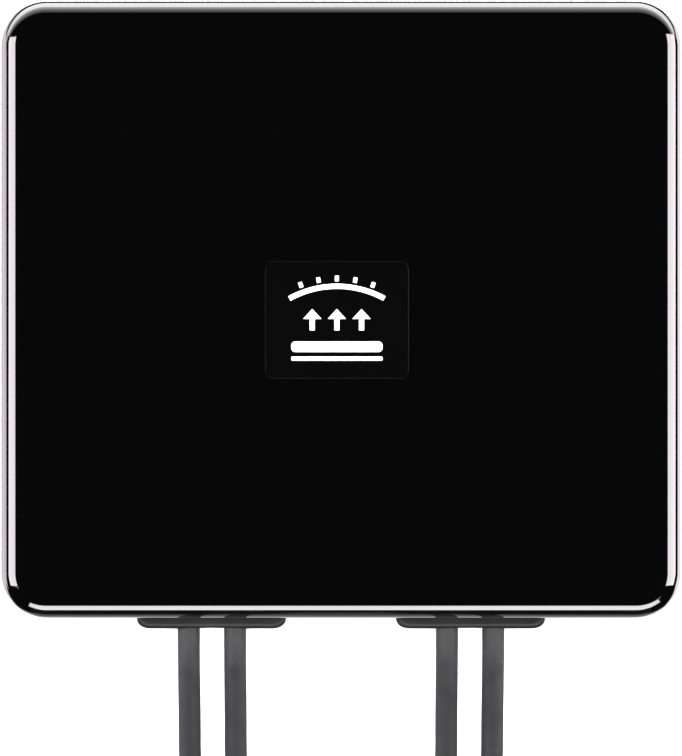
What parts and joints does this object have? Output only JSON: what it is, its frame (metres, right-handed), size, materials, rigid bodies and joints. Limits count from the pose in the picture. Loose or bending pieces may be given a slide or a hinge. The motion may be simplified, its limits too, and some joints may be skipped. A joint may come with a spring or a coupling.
{
  "type": "combination panel antenna",
  "caption": "Flat black rounded-square panel antenna that lies on an adhesive face, with coax leads from two rubber glands on one edge, coiled and ended in screw-on plugs.",
  "frame": {"origin": "centre of the adhesive face that the antenna lies on", "axes": "+Z towards the sky, +X across the housing along its longer side, and the leads leave towards -Y"},
  "size_m": [0.2104, 0.2642, 0.0308],
  "materials": {
    "cover": "high-gloss injection-moulded black plastic",
    "base": "fine spark-textured moulded black plastic",
    "seal": "matte dark grey cord rubber",
    "adhesive": "closed-cell acrylic foam tape",
    "label": "satin black film with white ink",
    "gland": "satin dark grey moulded rubber",
    "jacket": "satin black extruded cable jacket",
    "tie": "woven black hook-and-loop strap",
    "membrane": "white vent membrane",
    "clamp": "matte black moulded plastic",
    "screw": "zinc-plated steel",
    "plate": "brushed aluminium sheet",
    "tin": "tin-plated steel",
    "board": "green solder mask on glass-epoxy board",
    "copper": "bare copper foil",
    "ceramic": "unglazed dielectric ceramic with a silvered top",
    "core": "tinned braid on the bare core",
    "boot": "black shrink sleeve",
    "plug": "gold-plated brass",
    "nut": "nickel-plated brass"
  },
  "bodies": {
    "housing": {"top_cover": "cover", "base_tray": "base", "gasket_main": "seal", "gasket_bridge": "seal", "adhesive_pad": "adhesive", "sky_label": "label", "vent_membrane": "membrane", "housing_screw_1": "screw", "clamp_screw_1": "screw", "inner_lead_1": "core", "outer_lead_1": "jacket", "lead_tail_1": "jacket", "plug_boot_1": "boot", "plug_body_1": "plug", "housing_screw_2": "screw", "clamp_screw_2": "screw", "inner_lead_2": "core", "outer_lead_2": "jacket", "lead_tail_2": "jacket", "plug_boot_2": "boot", "plug_body_2": "plug", "housing_screw_3": "screw", "clamp_screw_3": "screw", "inner_lead_3": "core", "outer_lead_3": "jacket", "lead_tail_3": "jacket", "plug_boot_3": "boot", "plug_body_3": "plug", "housing_screw_4": "screw", "clamp_screw_4": "screw", "inner_lead_4": "core", "outer_lead_4": "jacket", "lead_tail_4": "jacket", "plug_boot_4": "boot", "plug_body_4": "plug", "cable_gland_left": "gland", "cable_clamp_left": "clamp", "cellular_board_left": "board", "cellular_radiator_left": "copper", "coil_left": "jacket", "coil_tie_left": "tie", "cable_gland_right": "gland", "cable_clamp_right": "clamp", "cellular_board_right": "board", "cellular_radiator_right": "copper", "coil_right": "jacket", "coil_tie_right": "tie", "gnss_ground_plate": "plate", "gnss_board": "board", "wifi_board": "board", "gnss_shield_can": "tin", "gnss_feed_pin": "tin", "gnss_patch": "ceramic", "wifi_radiator": "copper"},
    "nut_1": {"coupling_nut_1": "nut"},
    "nut_2": {"coupling_nut_2": "nut"},
    "nut_3": {"coupling_nut_3": "nut"},
    "nut_4": {"coupling_nut_4": "nut"}
  },
  "joints": [
    {"name": "nut_1_spin", "type": "hinge", "parent": "housing", "child": "nut_1", "pos_m": [-0.09226, -0.15135, 0.02615], "axis": [-0.5736, 0.8192, 0], "continuous": true},
    {"name": "nut_2_spin", "type": "hinge", "parent": "housing", "child": "nut_2", "pos_m": [-0.02461, -0.14426, 0.02615], "axis": [0.5736, -0.8192, 0], "continuous": true},
    {"name": "nut_3_spin", "type": "hinge", "parent": "housing", "child": "nut_3", "pos_m": [0.02461, -0.14426, 0.02615], "axis": [-0.5736, -0.8192, 0], "continuous": true},
    {"name": "nut_4_spin", "type": "hinge", "parent": "housing", "child": "nut_4", "pos_m": [0.09226, -0.15135, 0.02615], "axis": [0.5736, 0.8192, 0], "continuous": true}
  ]
}
